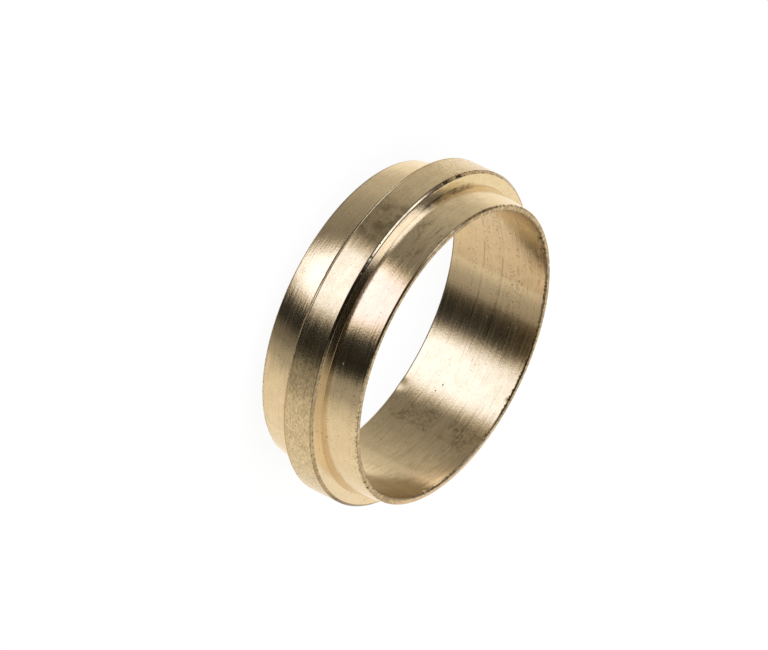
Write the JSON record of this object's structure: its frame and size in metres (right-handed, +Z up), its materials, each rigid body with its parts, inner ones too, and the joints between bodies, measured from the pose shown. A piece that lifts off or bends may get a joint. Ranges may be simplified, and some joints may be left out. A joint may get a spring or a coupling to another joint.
{
  "type": "compression olive",
  "caption": "Turned brass compression olive: a short ring with a plain bore, thin crowned skirts and a raised central collar, squeezed onto a pipe to seal a coupling.",
  "frame": {"origin": "middle of the lower end of the ring, on the bore axis, in the plane of the face it stands on", "axes": "+Z up along the bore axis; X and Y are alike, because the ring is round"},
  "size_m": [0.033, 0.033, 0.0106],
  "materials": {
    "turned_brass": "as turned, satin, with fine circular tool marks and small nicks on the edges"
  },
  "bodies": {
    "root": {"olive": "turned_brass"}
  },
  "joints": []
}
